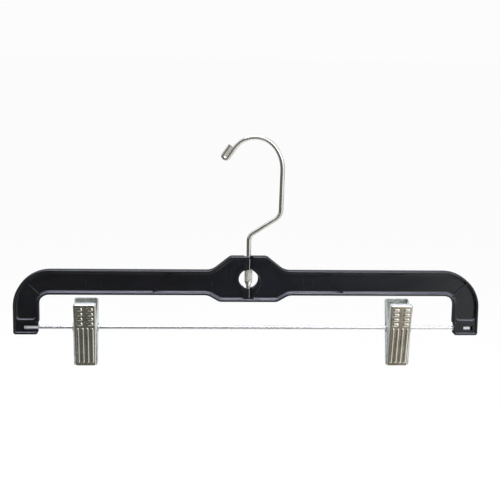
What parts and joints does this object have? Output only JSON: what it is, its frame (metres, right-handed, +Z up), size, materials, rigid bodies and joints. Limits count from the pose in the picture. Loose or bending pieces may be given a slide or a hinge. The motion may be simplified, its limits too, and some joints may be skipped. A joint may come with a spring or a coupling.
{
  "type": "skirt hanger",
  "caption": "Black moulded skirt hanger with a swivelling wire hook and sprung metal clips that slide and swing on a steel crossbar.",
  "frame": {"origin": "on the hook's swivel axis, at the underside of its crown, where a rail carries the hanger", "axes": "+X along the crossbar to the right seen from the front, +Z up along the swivel axis, and the front faces -Y"},
  "size_m": [0.3556, 0.0278, 0.1776],
  "materials": {
    "black_plastic": "semi-gloss moulded black",
    "hook_wire": "bright plated wire",
    "bar_steel": "bright plated rod",
    "clip_sheet": "bright nickel plate",
    "clip_tube": "bright nickel plate",
    "spring_wire": "bright drawn spring wire"
  },
  "bodies": {
    "hook": {"swivel_hook": "hook_wire"},
    "frame": {"hanger_frame": "black_plastic", "crossbar": "bar_steel"},
    "left_tube": {"left_clip_pivot_tube": "clip_tube"},
    "left_rear": {"left_clip_rear_jaw": "clip_sheet", "left_clip_spring": "spring_wire"},
    "left_front": {"left_clip_front_jaw": "clip_sheet"},
    "right_tube": {"right_clip_pivot_tube": "clip_tube"},
    "right_rear": {"right_clip_rear_jaw": "clip_sheet", "right_clip_spring": "spring_wire"},
    "right_front": {"right_clip_front_jaw": "clip_sheet"}
  },
  "joints": [
    {"name": "hook_swivel", "type": "hinge", "parent": "hook", "child": "frame", "pos_m": [0, 0, -0.1], "axis": [0, 0, 1], "continuous": true},
    {"name": "left_slide", "type": "slide", "parent": "frame", "child": "left_tube", "axis": [1, 0, 0], "range_m": [-0.0257, 0.0825]},
    {"name": "left_swing", "type": "hinge", "parent": "left_tube", "child": "left_rear", "pos_m": [-0.1235, 0, -0.14372], "axis": [1, 0, 0], "range_deg": [-120, 160]},
    {"name": "left_open", "type": "hinge", "parent": "left_rear", "child": "left_front", "pos_m": [-0.1235, 0, -0.14372], "axis": [-1, 0, 0], "range_deg": [0, 40], "stiffness_Nm_per_rad": 0.1, "springref_deg": -45.84, "deforming": ["left_clip_spring"]},
    {"name": "right_slide", "type": "slide", "parent": "frame", "child": "right_tube", "axis": [1, 0, 0], "range_m": [-0.0755, 0.0326]},
    {"name": "right_swing", "type": "hinge", "parent": "right_tube", "child": "right_rear", "pos_m": [0.11655, 0, -0.14372], "axis": [1, 0, 0], "range_deg": [-120, 160]},
    {"name": "right_open", "type": "hinge", "parent": "right_rear", "child": "right_front", "pos_m": [0.11655, 0, -0.14372], "axis": [-1, 0, 0], "range_deg": [0, 40], "stiffness_Nm_per_rad": 0.1, "springref_deg": -45.84, "deforming": ["right_clip_spring"]}
  ]
}
